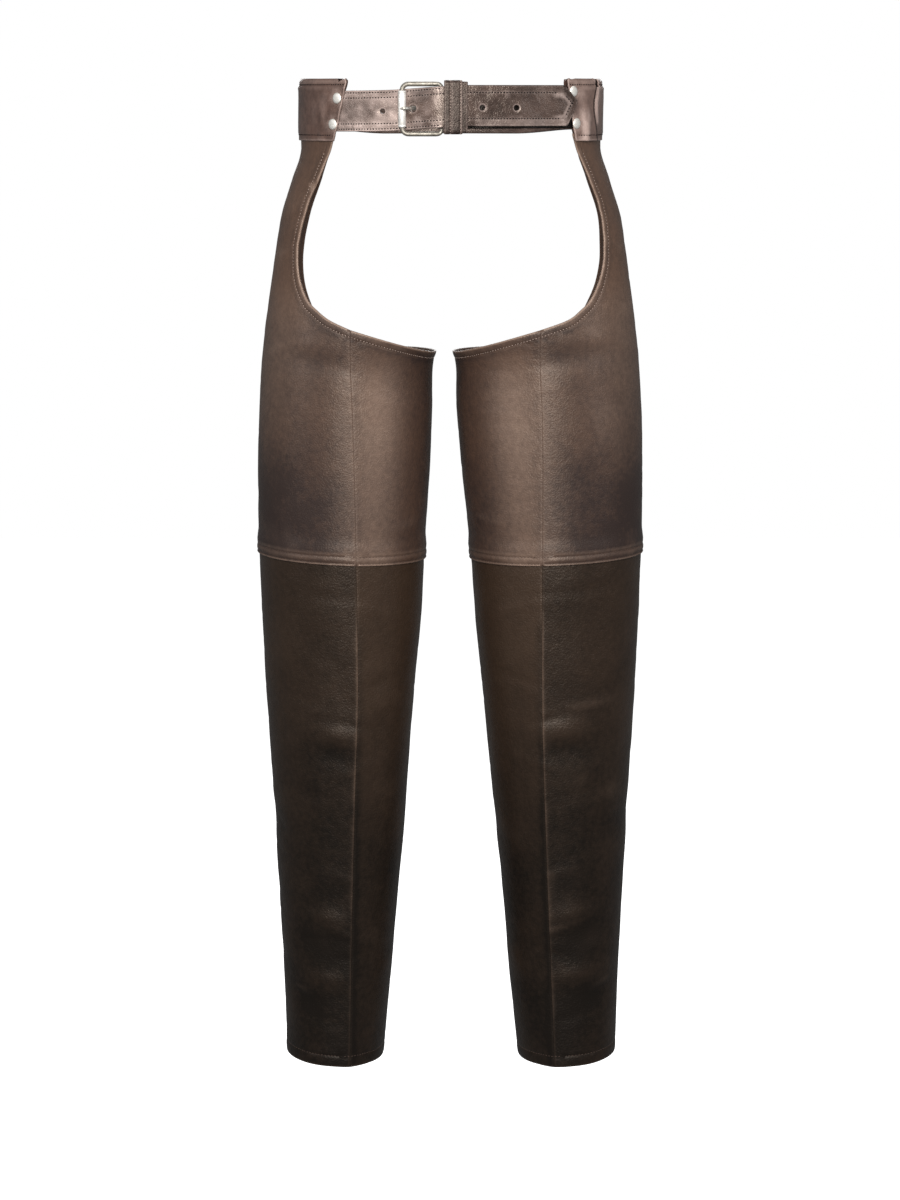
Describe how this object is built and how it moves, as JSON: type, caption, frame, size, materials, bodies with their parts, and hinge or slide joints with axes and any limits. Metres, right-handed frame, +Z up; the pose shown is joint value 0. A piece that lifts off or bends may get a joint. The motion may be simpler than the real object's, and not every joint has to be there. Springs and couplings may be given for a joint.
{
  "type": "leather chaps",
  "caption": "Pair of leather chaps, seatless leg coverings on hip straps that hang from a buckled waist belt through folded tabs.",
  "frame": {"origin": "middle of the waist, where the wearer's waist holds the belt, 10 mm above the middle of the belt", "axes": "+Z up along the wearer's body, -Y the wearer's front with the buckle, +X the wearer's left side"},
  "size_m": [0.4077, 0.2403, 1.0507],
  "materials": {
    "upper_leather": "soft semi-gloss, pebbled grain, worn warm brown over dark brown",
    "lower_leather": "soft semi-gloss, pebbled grain, very dark brown",
    "belt_leather": "worn satin, greyish brown",
    "nickel": "antique nickel plate, polished"
  },
  "bodies": {
    "root": {"back_strap": "belt_leather", "buckle_frame": "nickel", "buckle_prong": "nickel", "buckle_roller": "nickel", "buckle_strap": "belt_leather", "keeper": "belt_leather", "keeper_upper_ply": "belt_leather", "lower_leg_inner_left": "lower_leather", "lower_leg_inner_right": "lower_leather", "lower_leg_outer_left": "lower_leather", "lower_leg_outer_right": "lower_leather", "rivet_back_left_lower": "nickel", "rivet_back_left_upper": "nickel", "rivet_back_right_lower": "nickel", "rivet_back_right_upper": "nickel", "rivet_front_left_lower": "nickel", "rivet_front_left_upper": "nickel", "rivet_front_right_lower": "nickel", "rivet_front_right_upper": "nickel", "tab_left": "upper_leather", "tab_right_front": "upper_leather", "tab_right_side": "upper_leather", "tip_strap_face": "belt_leather", "tip_strap_lining": "belt_leather", "upper_leg_inner_left": "upper_leather", "upper_leg_inner_right": "upper_leather", "upper_leg_outer_left": "upper_leather", "upper_leg_outer_right": "upper_leather"}
  },
  "joints": []
}
